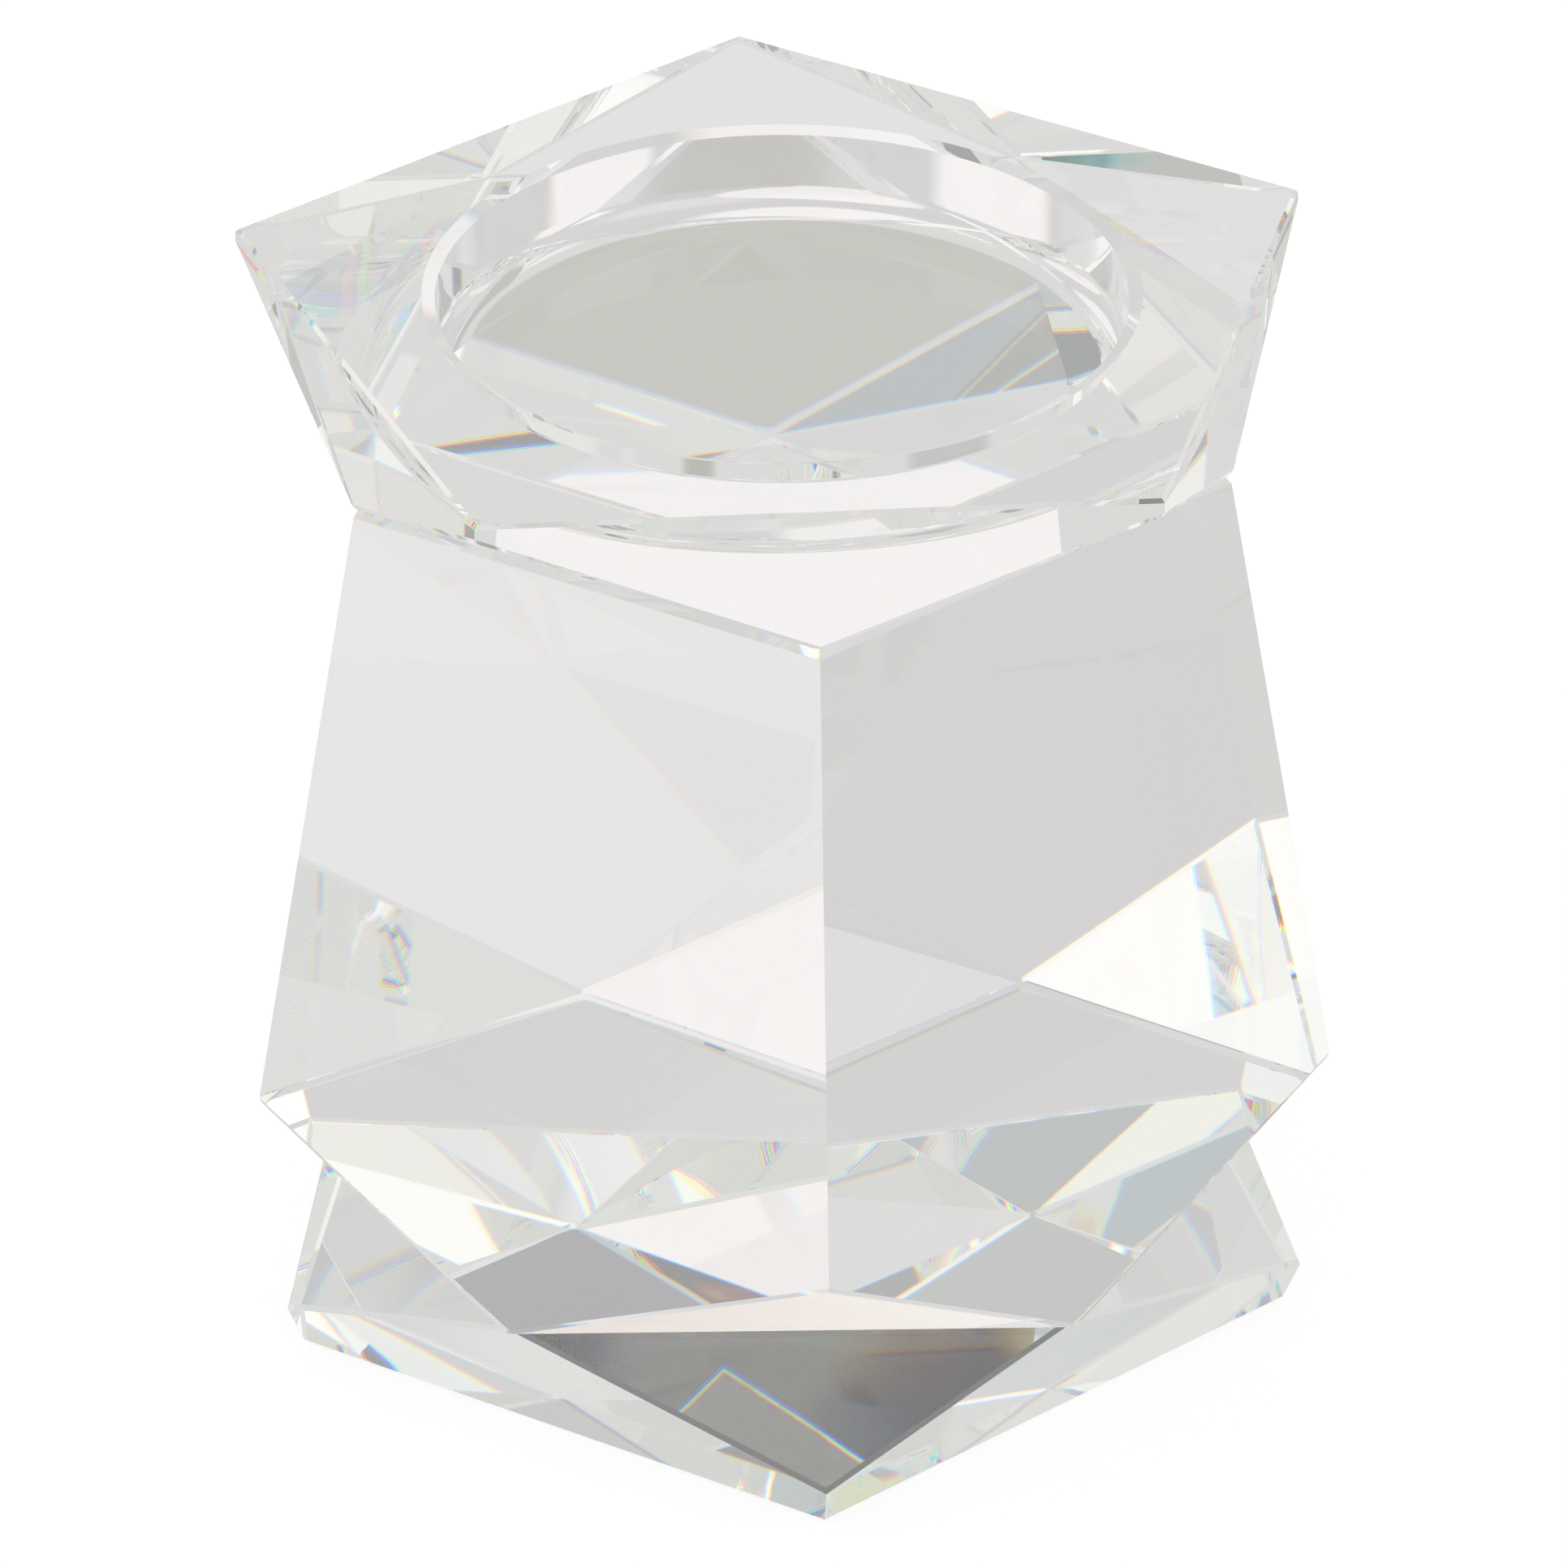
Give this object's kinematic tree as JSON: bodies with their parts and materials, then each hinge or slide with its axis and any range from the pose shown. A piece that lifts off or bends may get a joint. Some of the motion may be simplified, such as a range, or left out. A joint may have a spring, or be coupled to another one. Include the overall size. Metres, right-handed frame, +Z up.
{
  "type": "glass candlestick",
  "caption": "Faceted clear glass candlestick: pentagonal cut blocks bonded in a stack, with a shallow round well in the top face for a pillar candle.",
  "frame": {"origin": "centre of the flat underside, on the plane of the table", "axes": "+Z up along the axis of the candle well; -Y towards the front, where a corner of the body and the middle of a side of the cup block face; +X to the right"},
  "size_m": [0.1242, 0.1295, 0.127],
  "materials": {
    "optical_glass": "ground and polished, clear",
    "clear_adhesive": "clear cured film"
  },
  "bodies": {
    "root": {"base_block": "optical_glass", "lower_bond": "clear_adhesive", "body_block": "optical_glass", "upper_bond": "clear_adhesive", "cup_block": "optical_glass"}
  },
  "joints": []
}
